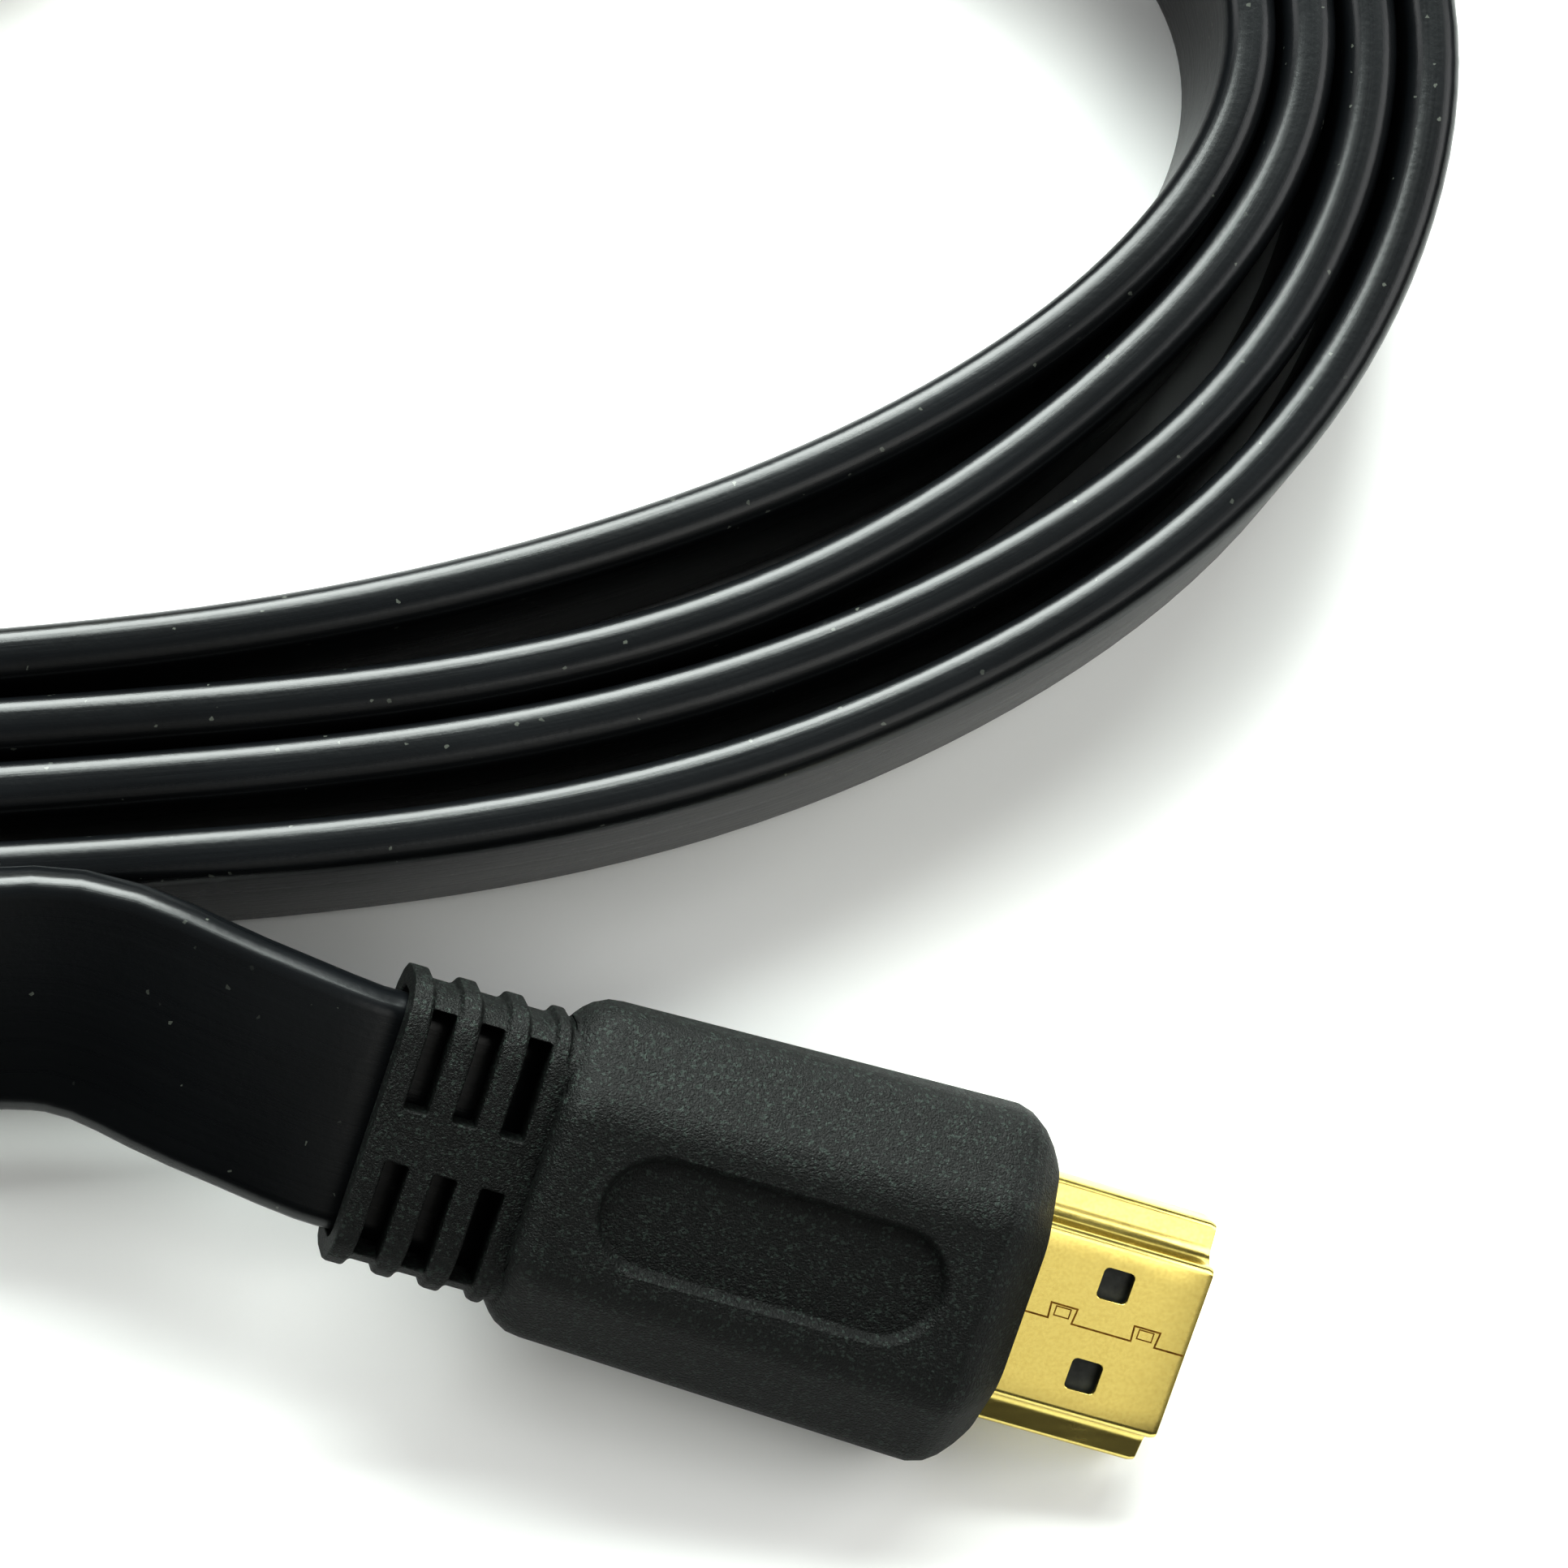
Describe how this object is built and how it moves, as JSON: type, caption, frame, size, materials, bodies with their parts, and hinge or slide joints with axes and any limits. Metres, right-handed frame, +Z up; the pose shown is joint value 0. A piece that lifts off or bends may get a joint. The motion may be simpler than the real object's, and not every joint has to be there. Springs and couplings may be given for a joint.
{
  "type": "flat video and audio cable",
  "caption": "Flat ribbon video cable wound on edge in an oval coil, with a moulded plug at each end: grid strain relief, tapered grip and gold-plated metal shell.",
  "frame": {"origin": "on the table, under the middle of the box round the two plugs, without the ribbon", "axes": "+Z up from the table; +X along the longer side of the two plugs' box, to the right in the picture; +Y away from the near plug, towards the coil"},
  "size_m": [0.1798, 0.1207, 0.0204],
  "materials": {
    "ribbon": "semi-gloss extruded vinyl with faint lengthwise streaks",
    "grip": "moulded black vinyl with a fine spark-eroded grain",
    "shell": "bright gold-plated stamped steel",
    "insulator": "dark moulded plastic",
    "contact": "gold-plated contact strip"
  },
  "bodies": {
    "root": {"near_body": "grip", "near_shell": "shell", "near_insulator": "insulator", "near_contact_lower_1": "contact", "near_contact_lower_2": "contact", "near_contact_lower_3": "contact", "near_contact_lower_4": "contact", "near_contact_lower_5": "contact", "near_contact_lower_6": "contact", "near_contact_lower_7": "contact", "near_contact_lower_8": "contact", "near_contact_lower_9": "contact", "near_contact_lower_10": "contact", "near_contact_upper_1": "contact", "near_contact_upper_2": "contact", "near_contact_upper_3": "contact", "near_contact_upper_4": "contact", "near_contact_upper_5": "contact", "near_contact_upper_6": "contact", "near_contact_upper_7": "contact", "near_contact_upper_8": "contact", "near_contact_upper_9": "contact", "far_body": "grip", "far_shell": "shell", "far_insulator": "insulator", "far_contact_lower_1": "contact", "far_contact_lower_2": "contact", "far_contact_lower_3": "contact", "far_contact_lower_4": "contact", "far_contact_lower_5": "contact", "far_contact_lower_6": "contact", "far_contact_lower_7": "contact", "far_contact_lower_8": "contact", "far_contact_lower_9": "contact", "far_contact_lower_10": "contact", "far_contact_upper_1": "contact", "far_contact_upper_2": "contact", "far_contact_upper_3": "contact", "far_contact_upper_4": "contact", "far_contact_upper_5": "contact", "far_contact_upper_6": "contact", "far_contact_upper_7": "contact", "far_contact_upper_8": "contact", "far_contact_upper_9": "contact", "ribbon_coil": "ribbon", "ribbon_near_lead": "ribbon", "ribbon_far_lead": "ribbon"}
  },
  "joints": []
}
